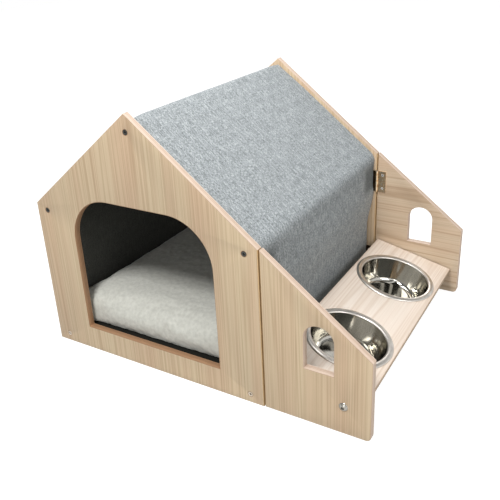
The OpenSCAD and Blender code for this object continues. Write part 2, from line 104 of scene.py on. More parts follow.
def linear(hex_colour):
    """An sRGB hex colour as a linear RGBA colour."""
    parts = [int(hex_colour[i:i + 2], 16) / 255 for i in (1, 3, 5)]
    return [c / 12.92 if c <= 0.04045 else ((c + 0.055) / 1.055) ** 2.4 for c in parts] + [1]


def add(tree, kind, inputs=None, **settings):
    """Adds a node. Inputs take another node's socket or a value, and settings are the node's properties."""
    node = tree.nodes.new(kind)
    for key, value in settings.items():
        setattr(node, key, value)
    for key, value in (inputs or {}).items():
        if isinstance(value, bpy.types.NodeSocket):
            tree.links.new(value, node.inputs[key])
        else:
            node.inputs[key].default_value = value
    return node


def new_material(name, shader_values):
    """A material and its principled shader, with constant values set on the shader's own sockets."""
    made = bpy.data.materials.new(name)
    made.use_nodes = True
    shader = made.node_tree.nodes["Principled BSDF"]
    for socket, value in shader_values.items():
        shader.inputs[socket].default_value = value
    return made, made.node_tree, shader


def stretched(tree, place, sizes, detail=2.0, low=0.32, high=0.68):
    """Noise between 0 and 1 whose grains have these sizes along X, Y and Z."""
    scaled = add(tree, "ShaderNodeMapping", {"Vector": place, "Scale": [1 / s for s in sizes]})
    cloud = add(tree, "ShaderNodeTexNoise", {"Vector": scaled.outputs[0], "Scale": 1.0, "Detail": detail})
    spread = {"Value": cloud.outputs[0], "From Min": low, "From Max": high}
    return add(tree, "ShaderNodeMapRange", spread).outputs[0]


def tinted(tree, base, tint, pattern, strength=1.0):
    """A base colour that turns to a tint where a pattern is strong. Each is a hex colour or a socket."""
    share = add(tree, "ShaderNodeMath", {0: pattern, 1: strength}, operation="MULTIPLY").outputs[0]
    ends = [linear(c) if isinstance(c, str) else c for c in (base, tint)]
    return add(tree, "ShaderNodeMix", {0: share, 6: ends[0], 7: ends[1]}, data_type="RGBA").outputs[2]


def grain_sizes(grain, along, across):
    """Sizes along X, Y and Z of a pattern drawn out along the grain."""
    return [along if axis == grain else across for axis in "XYZ"]


def veneer(name, grain, yellow, pink, line, ring_w, line_w, ring_share):
    """Straight-grained softwood veneer, sliced and matt lacquered: soft bands and fine dark lines."""
    made, tree, shader = new_material(name, {"Roughness": 0.5})
    place = add(tree, "ShaderNodeTexCoord").outputs["Object"]
    bands = stretched(tree, place, grain_sizes(grain, 1.6, 34 * mm))
    # Drawn 1.5 mm wide, because real wood fibres are finer than a pixel
    fibres = stretched(tree, place, grain_sizes(grain, 150 * mm, 1.5 * mm), low=0.44, high=0.74)
    # Growth rings are level lines of a slow change across the grain, about a ring width apart
    growth_w, ring_count = 9 * ring_w, 13
    growth = stretched(tree, place, grain_sizes(grain, 2.6, growth_w), detail=1, low=0.0, high=1.0)
    counted = add(tree, "ShaderNodeMath", {0: growth, 1: ring_count}, operation="MULTIPLY").outputs[0]
    folded = add(tree, "ShaderNodeMath", {0: counted, 1: 0.5}, operation="PINGPONG").outputs[0]
    fading = {"Value": folded, "From Min": 0.0, "From Max": line_w / ring_w, "To Min": 1.0, "To Max": 0.0}
    rings = add(tree, "ShaderNodeMapRange", fading).outputs[0]
    tone = tinted(tree, yellow, pink, bands)
    ringed = tinted(tree, tone, line, rings, ring_share)
    grained = tinted(tree, ringed, line, fibres, 0.28)
    relief = add(tree, "ShaderNodeBump", {"Height": fibres, "Strength": 0.12, "Distance": 0.2 * mm})
    tree.links.new(grained, shader.inputs["Base Color"])
    tree.links.new(relief.outputs[0], shader.inputs["Normal"])
    return made


def board_edge(name, normal, pale, dark):
    """Sawn and sanded plywood edge: pale plies and thin darker glue lines that run along the edge."""
    made, tree, shader = new_material(name, {"Roughness": 0.62})
    place = add(tree, "ShaderNodeTexCoord").outputs["Object"]
    across = add(tree, "ShaderNodeVectorMath", {0: place, 1: normal}, operation="DOT_PRODUCT")
    layer = add(tree, "ShaderNodeCombineXYZ", {"X": across.outputs["Value"]}).outputs[0]
    # Drawn as a few thick plies, because the real ones are finer than a pixel
    plies = stretched(tree, layer, [2.2 * mm, 1, 1], detail=1, low=0.48, high=0.62)
    streaks = stretched(tree, place, [14 * mm, 1.2 * mm, 14 * mm], detail=3)
    layered = tinted(tree, pale, dark, plies, 0.7)
    sawn = tinted(tree, layered, dark, streaks, 0.25)
    tree.links.new(sawn, shader.inputs["Base Color"])
    return made


def wool_felt(name, pale, mean, dark, sheen):
    """Needled wool felt: pale and dark fibres in a fine speckle, streaks along the roll and a dull nap."""
    made, tree, shader = new_material(name, {
        "Roughness": 0.95, "Specular IOR Level": 0.2, "Sheen Weight": sheen, "Sheen Roughness": 0.5,
    })
    place = add(tree, "ShaderNodeUVMap", uv_map="wrap").outputs[0]
    # Real fibres are finer than a pixel, so the speckle is drawn 1.4 mm wide and the streaks about 2.5 mm
    speckle = stretched(tree, place, [1.4 * mm, 3.4 * mm, 1], detail=4, low=0.3, high=0.7)
    pale_fibres = stretched(tree, place, [2.4 * mm, 20 * mm, 1], detail=1, low=0.5, high=0.7)
    dark_fibres = stretched(tree, place, [2.6 * mm, 18 * mm, 1], detail=1, low=0.5, high=0.7)
    clouds = stretched(tree, place, [6 * mm, 12 * mm, 1], detail=3)
    patches = stretched(tree, place, [28 * mm, 30 * mm, 1])
    light = tinted(tree, dark, pale, speckle)
    fleck = tinted(tree, light, pale, pale_fibres, 0.48)
    heather = tinted(tree, fleck, dark, dark_fibres, 0.48)
    cloudy = tinted(tree, heather, mean, clouds, 0.45)
    patchy = tinted(tree, cloudy, dark, patches, 0.1)
    # Painted shade: on the patch beside each upper hinge leaf, which the mesh attribute marks, the felt is
    # drawn darker
    painted_shade_patch = add(tree, "ShaderNodeAttribute", attribute_name="dent_with_painted_shade").outputs["Fac"]
    marked = tinted(tree, patchy, dark, painted_shade_patch, 0.7)
    nap = add(tree, "ShaderNodeBump", {"Height": speckle, "Strength": 0.05, "Distance": 0.3 * mm})
    tree.links.new(marked, shader.inputs["Base Color"])
    tree.links.new(nap.outputs[0], shader.inputs["Normal"])
    return made


def plush(name, pale, dull):
    """Long-pile plush: an off-white pile whose tips catch light in small soft tufts."""
    made, tree, shader = new_material(name, {
        "Roughness": 0.9, "Specular IOR Level": 0.25, "Sheen Weight": 0.3, "Sheen Roughness": 0.6,
    })
    place = add(tree, "ShaderNodeTexCoord").outputs["Object"]
    tufts = stretched(tree, place, [6 * mm] * 3, detail=3)
    pile = stretched(tree, place, [1.6 * mm] * 3)
    colour = tinted(tree, dull, pale, tufts)
    nap = add(tree, "ShaderNodeBump", {"Height": pile, "Strength": 0.25, "Distance": 0.8 * mm})
    tree.links.new(colour, shader.inputs["Base Color"])
    tree.links.new(nap.outputs[0], shader.inputs["Normal"])
    return made


def metal(name, bright, dull, smooth, rough, grain):
    """Bare or plated steel: slight cloudy changes of tone and gloss left by its finishing."""
    made, tree, shader = new_material(name, {"Metallic": 1.0})
    place = add(tree, "ShaderNodeTexCoord").outputs["Object"]
    clouds = stretched(tree, place, [grain] * 3, detail=3)
    gloss = add(tree, "ShaderNodeMapRange", {"Value": clouds, "To Min": smooth, "To Max": rough})
    tree.links.new(tinted(tree, bright, dull, clouds), shader.inputs["Base Color"])
    tree.links.new(gloss.outputs[0], shader.inputs["Roughness"])
    return made


upright_veneer = veneer(
    "lacquered_veneer_upright", "Z", "#CBB899", "#C5AB8E", "#8F6C4A", 2.4 * mm, 0.6 * mm, 0.32)
level_veneer = veneer(
    "lacquered_veneer_level", "X", "#C3B199", "#C2A98F", "#80603F", 10 * mm, 1.3 * mm, 0.42)
shelf_veneer = veneer(
    "lacquered_veneer_shelf", "Y", "#E1D6CA", "#DFD1C3", "#BA9F86", 5 * mm, 1.3 * mm, 0.36)
upright_edge = board_edge("plywood_edge_upright", (0, 1, 0), "#D2BFAD", "#9A765E")
routed_edge = board_edge("routed_plywood_edge", (0, 1, 0), "#AC8664", "#704B31")
joint_edge = board_edge("sanded_plywood_edge", (0, 1, 0), "#D0B184", "#A88858")
shelf_normal = (math.sin(shelf_tilt), 0, math.cos(shelf_tilt))
# Painted shade: the shelf's edges are drawn darker than the other edges, for the shade on its outer edge
shelf_edge_painted_shade = board_edge("plywood_edge_shelf_painted_shade", shelf_normal, "#B59C82", "#7F6A56")
pine = veneer("planed_pine", "Y", "#E0CBA4", "#DDC196", "#B18F62", 5 * mm, 1.3 * mm, 0.5)
grey_felt = wool_felt("grey_heather_felt", "#CACFD1", "#7E8486", "#424A4C", 0.1)
dark_felt = wool_felt("charcoal_felt", "#63645F", "#50514C", "#3A3B37", 0.05)
black_felt = wool_felt("black_felt", "#24241F", "#1B1B17", "#11110E", 0.0)
white_plush = plush("white_plush", "#CBCBC2", "#BBBBB2")
polished_steel = metal("polished_stainless_steel", "#C2BFB7", "#ACA9A1", 0.06, 0.16, 30 * mm)
satin_steel = metal("satin_stainless_steel", "#D2CDC6", "#BDB8B1", 0.28, 0.40, 12 * mm)
zinc_steel = metal("zinc_plated_steel", "#C6C4C0", "#A3A19D", 0.25, 0.4, 4 * mm)
bronzed_steel = metal("antique_bronzed_steel", "#EAD8BC", "#C4A074", 0.26, 0.4, 5 * mm)
# Painted shade: a dark bronze for the flats of the gable leaves, which lie in the felt's shade
gable_leaf_painted_shade = metal("bronzed_steel_painted_shade", "#4A3B28", "#2E2418", 0.4, 0.55, 5 * mm)
bolt_steel = metal("polished_zinc_plated_steel", "#A9A69E", "#807D76", 0.2, 0.28, 4 * mm)
# Painted highlight: a near-white zinc for the hinge leaf screws, which stands in for the highlights on
# their heads
leaf_screw_painted_highlight = metal("zinc_plated_steel_painted_highlight", "#F0EEEA", "#D8D6D2", 0.5, 0.65, 4 * mm)
# Painted shade: a dark zinc for the heads of the gable screws, which stands in for shade on them
gable_screw_painted_shade = metal("zinc_plated_steel_painted_shade", "#5A5A56", "#3C3C39", 0.35, 0.5, 4 * mm)
warm_zinc = metal("passivated_zinc_plated_steel", "#D2C6B6", "#BBAE9D", 0.4, 0.55, 4 * mm)
# Dirt and painted shade: a near-black steel for the floors of the slots in screw heads
slot_dirt_and_painted_shade = metal("steel_dirt_and_painted_shade", "#12110F", "#0B0B0A", 0.6, 0.8, 2 * mm)


# Making of meshes

# Edges that turn by more than this are shown crisp
crisp_angle = math.radians(40)


def arc(x, y, r, start, end, steps):
    """Points of an arc round (x, y), with its angles in degrees."""
    turns = [math.radians(start + (end - start) * i / steps) for i in range(steps + 1)]
    return [(x + r * math.cos(a), y + r * math.sin(a)) for a in turns]


def circle(x, y, r, steps=40):
    """Points of a whole circle round (x, y)."""
    return arc(x, y, r, 0, 360, steps)[:-1]


def new_piece(name, shape, *finishes):
    """An object from a bmesh, with its materials."""
    bmesh.ops.recalc_face_normals(shape, faces=shape.faces)
    mesh = bpy.data.meshes.new(name)
    shape.to_mesh(mesh)
    shape.free()
    for finish in finishes:
        mesh.materials.append(finish)
    piece = bpy.data.objects.new(name, mesh)
    bpy.context.scene.collection.objects.link(piece)
    return piece


def set_modifiers(piece):
    """Makes the modifiers' result the piece's own mesh."""
    evaluated = piece.evaluated_get(bpy.context.evaluated_depsgraph_get())
    made = bpy.data.meshes.new_from_object(evaluated)
    piece.modifiers.clear()
    piece.data = made


def round_edges(piece, width, limit):
    """Rounds the edges of a piece that turn by more than a limit, in degrees."""
    bevel = piece.modifiers.new("rounded", "BEVEL")
    bevel.width = width
    bevel.segments = 3
    bevel.limit_method = "ANGLE"
    bevel.angle_limit = math.radians(limit)
    piece.data.shade_smooth()
    set_modifiers(piece)


def shifted(loop, distance):
    """A closed loop of points, moved to the left of its run."""
    spots = [Vector(p) for p in loop]
    moved = []
    for a, b, c in zip(spots[-1:] + spots[:-1], spots, spots[1:] + spots[:1]):
        before, after = (Vector((-run.y, run.x)).normalized() for run in (b - a, c - b))
        moved.append(b + (before + after) * distance / (1 + before.dot(after)))
    return moved


def board(name, loops, place, thickness, face, edges, round_r=0.9 * mm):
    """A board cut to an outline, the first loop, with holes, the other loops. Place sets it in the frame.
    Edges are the finishes of the loops' edges, of which the last serves all the loops that follow."""
    turns = [math.radians(a) for a in (0, 30, 60, 90)]
    levels = [(round_r * (1 - math.sin(a)), round_r * (1 - math.cos(a))) for a in turns]
    levels += [(inset, thickness - z) for inset, z in levels[::-1]]
    shape = bmesh.new()
    rims = [[], []]
    for number, loop in enumerate([loops[0]] + [hole[::-1] for hole in loops[1:]]):
        rings = [[shape.verts.new((*spot, z)) for spot in shifted(loop, inset)] for inset, z in levels]
        for low, high in zip(rings, rings[1:]):
            for a, b, c, d in zip(low, low[1:] + low[:1], high[1:] + high[:1], high):
                shape.faces.new((a, b, c, d)).material_index = 1 + min(number, len(edges) - 1)
        for rim_edges, ring in zip(rims, (rings[0], rings[-1])):
            rim_edges += [shape.edges.get(pair) for pair in zip(ring, ring[1:] + ring[:1])]
    sides = set(shape.faces)
    for rim_edges in rims:
        bmesh.ops.triangle_fill(shape, use_beauty=True, edges=rim_edges)
    for side in shape.faces:
        side.smooth = side in sides
    bmesh.ops.transform(shape, matrix=place, verts=shape.verts)
    piece = new_piece(name, shape, face, *edges)
    piece.data.set_sharp_from_angle(angle=crisp_angle)
    return piece


def standing(y):
    """Sets a board upright: its own x along X, its own y up, its thickness from y towards +Y."""
    return Matrix(((1, 0, 0, 0), (0, 0, 1, y), (0, 1, 0, 0), (0, 0, 0, 1)))


def even_line(points, step):
    """The points of a line, set evenly about a step apart."""
    spots = [Vector(p) for p in points]
    lengths = [0]
    for a, b in zip(spots, spots[1:]):
        lengths.append(lengths[-1] + (b - a).length)
    count = round(lengths[-1] / step)
    line, i = [], 0
    for k in range(count + 1):
        at = lengths[-1] * k / count
        while i < len(spots) - 2 and lengths[i + 1] < at:
            i += 1
        line.append(spots[i].lerp(spots[i + 1], (at - lengths[i]) / (lengths[i + 1] - lengths[i])))
    return line, lengths[-1]


def wrapped_sheet(name, points, thickness, ends, lift, finish, step=6 * mm):
    """A sheet wrapped round a line of points in X and Z, thick towards the right of its run.
    Ends gives the first and last y at a point of the line, and lift how far the sheet stands out."""
    line, length = even_line(points, step)
    tangents = [(b - a).normalized() for a, b in zip(line[:1] + line[:-1], line[1:] + line[-1:])]
    columns = round((rear - front) / step)
    shape = bmesh.new()
    uv = shape.loops.layers.uv.new("wrap")
    at_uv = {}

    def layer(depth):
        """One face of the sheet, at a depth from its outer side."""
        grid = []
        for k, (spot, run) in enumerate(zip(line, tangents)):
            first, last = ends(spot)
            row = []
            for j in range(columns + 1):
                y = first + (last - first) * j / columns
                inward = depth - lift(Vector((spot.x, y, spot.y)))
                vert = shape.verts.new((spot.x + run.y * inward, y, spot.y - run.x * inward))
                at_uv[vert] = (y, length * k / (len(line) - 1))
                row.append(vert)
            grid.append(row)
        return grid

    outer, inner = layer(0), layer(thickness)
    rows, last = len(line) - 1, columns
    for grid in (outer, inner):
        for k in range(rows):
            for j in range(last):
                shape.faces.new((grid[k][j], grid[k][j + 1], grid[k + 1][j + 1], grid[k + 1][j]))
    for k in range(rows):
        for j in (0, last):
            shape.faces.new((outer[k][j], outer[k + 1][j], inner[k + 1][j], inner[k][j]))
    for j in range(last):
        for k in (0, rows):
            shape.faces.new((outer[k][j], outer[k][j + 1], inner[k][j + 1], inner[k][j]))
    for face in shape.faces:
        for corner in face.loops:
            corner[uv].uv = at_uv[corner.vert]
    piece = new_piece(name, shape, finish)
    round_edges(piece, sheet_edge_r, 60)
    return piece, length


def lathe(name, profile, place, steps, *finishes):
    """A turned piece from the points of half its section, radius and height."""
    shape = bmesh.new()
    rings = []
    for r, z in profile:
        turns = [2 * math.pi * i / steps for i in range(steps)] if r > 0 else [0]
        rings.append([shape.verts.new((r * math.cos(a), r * math.sin(a), z)) for a in turns])
    for low, high in zip(rings, rings[1:]):
        for i in range(steps):
            j = i + 1
            corners = [low[i % len(low)], low[j % len(low)], high[j % len(high)], high[i % len(high)]]
            shape.faces.new(list(dict.fromkeys(corners)))
    bmesh.ops.transform(shape, matrix=place, verts=shape.verts)
    piece = new_piece(name, shape, *finishes)
    piece.data.shade_smooth()
    return piece


# Gables and wings

def middle(node):
    """The x and z of a node's middle."""
    lo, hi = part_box(node)
    return (lo.x + hi.x) / 2, (lo.z + hi.z) / 2


battens = [
    "ridge_batten", "left_eave_batten", "right_eave_batten", "left_floor_batten", "right_floor_batten",
]
gable_outline = [(left, 0), (right, 0), (right, eave_h), (mid_x, apex_h), (left, eave_h)]
screw_holes = [circle(*middle(batten), screw_hole_r) for batten in battens]
door_left, door_right = mid_x - door_w / 2, mid_x + door_w / 2
doorway = (
    [(door_left, sill_h), (door_right, sill_h)]
    + arc(door_right - door_r, door_top - door_r, door_r, 0, 90, 18)
    + arc(door_left + door_r, door_top - door_r, door_r, 90, 180, 18)
)
wing_outline = (
    [(wing_lo.x, wing_lo.z)]
    + arc(wing_hi.x - wing_corner_r, wing_lo.z + wing_corner_r, wing_corner_r, -90, 0, 8)
    + [(wing_hi.x, wing_tip_h), (wing_lo.x, eave_h)]
)
window_mid = wing_lo.x + window_x
window = (
    [(window_mid - window_w / 2, window_sill_h), (window_mid + window_w / 2, window_sill_h)]
    + arc(window_mid, window_spring_h, window_w / 2, 0, 180, 24)
)
bolt_hole = circle(*middle("front_shelf_bolt"), insert_hole_r)

gable_edges = [upright_edge, routed_edge]
wing_loops = [wing_outline, window, bolt_hole]

for end, y, wing_veneer in (("front", front, upright_veneer), ("rear", rear - board_t, level_veneer)):
    gable_loops = [gable_outline] + ([doorway] if end == "front" else []) + screw_holes
    gable = board(end + "_gable_board", gable_loops, standing(y), board_t, upright_veneer, gable_edges)
    wing = board(end + "_wing_board", wing_loops, standing(y), board_t, wing_veneer, [upright_edge])
    # Where a wing meets its gable, both edges are browner
    for piece, joint_x in ((gable, right), (wing, wing_lo.x)):
        piece.data.materials.append(joint_edge)
        for polygon in piece.data.polygons:
            if polygon.material_index == 1 and abs(polygon.center.x - joint_x) < mm:
                polygon.material_index = len(piece.data.materials) - 1
    for piece, node, body in ((gable, end + "_gable", "house"), (wing, end + "_wing", "wing_" + end)):
        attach(piece, body)
        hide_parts(node)


# Felt over the battens

eave_cx = wall_inset_top + eave_r
eave_cz = eave_h + (eave_cx * math.sin(roof_angle) - roof_inset - eave_r) / math.cos(roof_angle)
ridge_cx = mid_x - left
ridge_cz = eave_h + (ridge_cx * math.sin(roof_angle) - roof_inset - ridge_r) / math.cos(roof_angle)
felt_lo, felt_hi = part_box("felt_cover")
wall_steps = 40
wave_h = 1.2 * mm
waves_per_m = 9
# How far the ridge droops at the gables, and how far that reaches along and across it
droop_h = 2.2 * mm
droop_l = 34 * mm
droop_w = 70 * mm
# The patch beside an upper hinge, where the felt is dented and painted darker as shade: how far it reaches,
# and the length over which it fades
patch_below, patch_below_fade = 3 * mm, 18 * mm
patch_above, patch_above_fade = 28 * mm, 26 * mm
patch_l, patch_l_fade = 64 * mm, 30 * mm
dent_depth = 2 * mm
wall_zone = 24 * mm


def eased(u):
    """A smooth rise from 0 to 1 while u goes from 0 to 1."""
    v = min(max(u, 0), 1)
    return v * v * (3 - 2 * v)


def felt_half():
    """Left half of the felt's line, from the foot of the wall to the ridge, x from the gable's edge."""
    wall_foot_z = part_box("left_floor_batten")[1].z
    wall = []
    for i in range(wall_steps):
        z = felt_lo.z + (eave_cz - felt_lo.z) * i / wall_steps
        drawn = eased((wall_shoulder_z - z) / (wall_shoulder_z - wall_waist_high))
        let_out = eased((wall_waist_low - z) / (wall_waist_low - wall_foot_z))
        inset = wall_inset_top + (wall_inset_waist - wall_inset_top) * drawn
        wall.append((inset - (wall_inset_waist - wall_inset_low) * let_out, z))
    lean = 90 + math.degrees(roof_angle)
    eave = arc(eave_cx, eave_cz, eave_r, 180, lean, 12)
    ridge = arc(ridge_cx, ridge_cz, ridge_r, lean, 90, 8)
    return wall + eave + ridge


def both_halves(half):
    """The line of a left half, and of its mirror image, in the frame."""
    return [(left + x, z) for x, z in half] + [(right - x, z) for x, z in half[-2::-1]]


leaf_boxes = [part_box("front_%s_gable_leaf" % level) for level in ("upper", "lower")]
leaf_t = leaf_boxes[0][1].y - (front + board_t)
felt_trim = 1.8 * mm
leaf_clear = min(leaf_t, felt_trim)


def felt_ends(spot):
    """Where the felt starts and stops: against the gables, or clear of a hinge leaf."""
    under_leaf = spot.x > mid_x and any(lo.z - mm < spot.y < hi.z + mm for lo, hi in leaf_boxes)
    clear = leaf_clear if under_leaf else 0
    return felt_lo.y + clear, felt_hi.y - clear


def slack(height):
    """A sheet's gentle waves, none at its ends."""
    def lift(spot):
        share = (spot.y - felt_lo.y) / (felt_hi.y - felt_lo.y)
        return height * math.sin(math.pi * min(max(share, 0), 1)) * noise.noise(spot * waves_per_m)
    return lift


def from_gable(spot):
    """How far a spot lies from the nearer end of the felt."""
    return min(spot.y - felt_lo.y, felt_hi.y - spot.y)


def dent_with_painted_shade(spot):
    """1 on the patch beside each upper hinge leaf, where the felt is dented and painted darker as shade,
    and 0 away from it.
    """
    if spot.x <= right - wall_zone:
        return 0
    leaf_lo, leaf_hi = leaf_boxes[0]
    over_foot = eased((spot.z - leaf_lo.z + patch_below) / patch_below_fade)
    under_top = eased((leaf_hi.z + patch_above - spot.z) / patch_above_fade)
    return over_foot * under_top * eased((patch_l - from_gable(spot)) / patch_l_fade)


def felt_lift(spot):
    """Gentle waves, a droop where the ridge meets the gables, and a dent on the patch beside each upper
    hinge.
    """
    droop = droop_h * eased(1 - from_gable(spot) / droop_l) * eased(1 - abs(spot.x - mid_x) / droop_w)
    return slack(wave_h)(spot) - droop - dent_depth * dent_with_painted_shade(spot)


felt, felt_run = wrapped_sheet(
    "stretched_felt", both_halves(felt_half()), felt_t, felt_ends, felt_lift, grey_felt, 5 * mm)
# Painted shade: the felt's colour darkens by this share on the patch beside each upper hinge
painted_shade_share = felt.data.attributes.new("dent_with_painted_shade", "FLOAT", "POINT")
for share, vert in zip(painted_shade_share.data, felt.data.vertices):
    share.value = dent_with_painted_shade(vert.co)
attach(felt, "house")
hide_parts("felt_cover")


# Dark lining on the inside of the battens, and the felt on the floor board

lining_lo, lining_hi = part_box("felt_lining")
batten_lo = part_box("left_eave_batten")[0]
ridge_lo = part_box("ridge_batten")[0]
lining_wave_h = 1.0 * mm
lining_half = [
    (lining_lo.x - left, lining_lo.z), (lining_lo.x - left, batten_lo.z),
    (ridge_lo.x - left, lining_hi.z), (mid_x - left, lining_hi.z),
]
lining, lining_run = wrapped_sheet(
    "dark_lining", both_halves(lining_half), felt_t,
    lambda spot: (lining_lo.y, lining_hi.y), slack(lining_wave_h), dark_felt)
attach(lining, "house")
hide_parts("felt_lining")

floor_lo, floor_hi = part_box("floor_felt")
floor_line = [(floor_lo.x, floor_hi.z), (floor_hi.x, floor_hi.z)]
floor_cover, floor_run = wrapped_sheet(
    "floor_felt_sheet", floor_line, floor_hi.z - floor_lo.z,
    lambda spot: (floor_lo.y, floor_hi.y), slack(0), black_felt)
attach(floor_cover, "house")
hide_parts("floor_felt")


# Plush cushion, swelled by a cloth simulation

cushion_lo, cushion_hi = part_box("cushion")
cushion_voxel = 6 * mm
cushion_cap = 5 * mm
swell_pressure = 2
swell_frames = 16
tuft_h = 1.4 * mm
tuft_w = 9 * mm
wisp_w = 4 * mm
tuft_share, wisp_share = 0.65, 0.35
settled_h = 45 * mm
front_recess = 3 * mm
corner_r = 60 * mm
corner_fill = 0.5


def swollen(piece, pressure, frames, cap):
    """Blows the piece up a little as cloth, and keeps every point within cap of its start."""
    start = [v.co.copy() for v in piece.data.vertices]
    cloth = piece.modifiers.new("swelling", "CLOTH")
    cloth.settings.use_pressure = True
    cloth.settings.uniform_pressure_force = pressure
    cloth.settings.effector_weights.gravity = 0
    for number in range(1, frames + 1):
        bpy.context.scene.frame_set(number)
    evaluated = piece.evaluated_get(bpy.context.evaluated_depsgraph_get())
    ends = [v.co.copy() for v in evaluated.data.vertices]
    piece.modifiers.clear()
    bpy.context.scene.frame_set(1)
    for vert, a, b in zip(piece.data.vertices, start, ends):
        moved = b - a
        vert.co = a + moved * min(1, cap / max(moved.length, 1e-9))


def settle(spot):
    """Lets the foot of the cushion spread on the floor, and draws the right part of its front in."""
    height = spot.z - cushion_lo.z
    if height < settled_h:
        share = height / settled_h
        spot.z = cushion_lo.z + settled_h * share ** 3 * (3 - 2 * share)
    drawn_in = eased((spot.x - mid_x) / (cushion_hi.x - mid_x)) * eased(-spot.y / cushion_hi.y)
    spot.y += front_recess * drawn_in


def fill_corner(spot):
    """Pushes a corner outward, because a stuffed corner is fuller than a round one."""
    reach_x = abs(spot.x - mid_x) - (cushion_hi.x - mid_x - corner_r)
    reach_y = abs(spot.y) - (cushion_hi.y - corner_r)
    if reach_x > 0 and reach_y > 0:
        fuller = corner_fill * (math.hypot(reach_x, reach_y) / max(reach_x, reach_y) - 1)
        spot.x += math.copysign(reach_x * fuller, spot.x - mid_x)
        spot.y += math.copysign(reach_y * fuller, spot.y)


def make_cushion():
    """The cushion's own form, swelled, set back into its room and covered in soft tufts."""
    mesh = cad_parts["cushion"].data.copy()
    piece = bpy.data.objects.new("plush_cushion", mesh)
    bpy.context.scene.collection.objects.link(piece)
    remesh = piece.modifiers.new("even", "REMESH")
    remesh.mode = "VOXEL"
    remesh.voxel_size = cushion_voxel
    set_modifiers(piece)
    swollen(piece, swell_pressure, swell_frames, cushion_cap)
    rounder = piece.modifiers.new("finer", "SUBSURF")
    rounder.levels = 1
    set_modifiers(piece)
    verts = piece.data.vertices
    ends = [(min(v.co[k] for v in verts), max(v.co[k] for v in verts)) for k in range(3)]
    room = [(lo + tuft_h, hi - tuft_h) for lo, hi in zip(cushion_lo, cushion_hi)]
    for vert in verts:
        vert.co = [lo + (x - a) / (b - a) * (hi - lo) for x, (a, b), (lo, hi) in zip(vert.co, ends, room)]
        settle(vert.co)
        fill_corner(vert.co)
    outward = [v.normal.copy() for v in verts]
    for vert, normal in zip(verts, outward):
        tuft = tuft_share * noise.noise(vert.co / tuft_w) + wisp_share * noise.noise(vert.co / wisp_w)
        vert.co = vert.co + normal * tuft_h * tuft
    piece.data.materials.clear()
    piece.data.materials.append(white_plush)
    piece.data.shade_smooth()
    return piece


cushion = make_cushion()
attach(cushion, "house")
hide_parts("cushion")


# Feeding shelf and bowls

shelf_t = board_t


def cut_notch(piece, bolt, end_y):
    """Cuts the underside of the shelf's end away where it drops over the shank of a bolt."""
    x, z = middle(bolt)
    shape = bmesh.new()
    place = Matrix.Translation((x, end_y, z + notch_rise - shelf_t))
    size = Matrix.Diagonal((notch_w, 2 * notch_l, 2 * shelf_t, 1))
    bmesh.ops.create_cube(shape, size=1, matrix=place @ size)
    for face in shape.faces:
        face.material_index = 1
    cutter = new_piece("cutter", shape, shelf_veneer, shelf_edge_painted_shade)
    cut = piece.modifiers.new("notch", "BOOLEAN")
    cut.object = cutter
    set_modifiers(piece)
    bpy.data.objects.remove(cutter)
    piece.data.set_sharp_from_angle(angle=crisp_angle)


shelf_corner = Vector((shelf_lo.x + shelf_t * math.sin(shelf_tilt), 0, shelf_hi.z))
on_shelf = Matrix.Translation(shelf_corner) @ Matrix.Rotation(shelf_tilt, 4, "Y")
bowl_mid_x = shelf_w / 2
bowl_spots = {"front": shelf_lo.y + front_bowl_y, "rear": shelf_hi.y - rear_bowl_y}
shelf_outline = [(0, shelf_lo.y), (shelf_w, shelf_lo.y), (shelf_w, shelf_hi.y), (0, shelf_hi.y)]
bowl_holes = [circle(bowl_mid_x, y, bowl_hole_r, 72) for y in bowl_spots.values()]
shelf_place = on_shelf @ Matrix.Translation((0, 0, -shelf_t))
shelf_loops = [shelf_outline, *bowl_holes]
shelf = board("feeding_shelf", shelf_loops, shelf_place, shelf_t, shelf_veneer, [shelf_edge_painted_shade])
for bolt, end_y in (("front_shelf_bolt", shelf_lo.y), ("rear_shelf_bolt", shelf_hi.y)):
    cut_notch(shelf, bolt, end_y)
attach(shelf, "shelf_tray")
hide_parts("shelf")

wall_lean = math.degrees(math.atan2(bowl_r - bowl_base_r, bowl_depth + bowl_lift))
lean = math.radians(wall_lean)
turn_z = bowl_turn_r - bowl_depth
turn_x = bowl_base_r + bowl_turn_r * math.tan(lean) - bowl_turn_r / math.cos(lean)
bead_steps = 24
bowl_steps = 128


def rim(inset, start, end):
    """Points of the rolled rim, an inset inside its outer line, between two angles from its top."""
    half = bowl_rim_w / 2
    turns = [math.radians(start + (end - start) * i / bead_steps) for i in range(bead_steps + 1)]
    return [
        (bowl_r + half + (half - inset) * math.sin(a), bowl_lift + (bowl_rim_h - inset) * math.cos(a))
        for a in turns
    ]


bowl_inside = [(0, -bowl_depth)] + arc(turn_x, turn_z, bowl_turn_r, -90, -wall_lean, 14)
bowl_outside = arc(turn_x, turn_z, bowl_turn_r + bowl_t, -wall_lean, -90, 14) + [(0, -bowl_depth - bowl_t)]
bowl_profile = bowl_inside + rim(0, -90, 90) + rim(bowl_t, 90, -90) + bowl_outside
for end, y in bowl_spots.items():
    place = on_shelf @ Matrix.Translation((bowl_mid_x, y, 0))
    bowl = lathe(end + "_steel_bowl", bowl_profile, place, bowl_steps, polished_steel, satin_steel)
    axis_point, axis = place.translation, place.to_3x3() @ Vector((0, 0, 1))
    # The rim is satin, and the rest polished
    for polygon in bowl.data.polygons:
        reach = polygon.center - axis_point
        height = reach.dot(axis)
        polygon.material_index = 1 if (reach - axis * height).length > bowl_r and height > -mm else 0
    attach(bowl, "bowl_" + end)
    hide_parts(end + "_bowl")


# Finishes of the pieces that are shown as their solids are

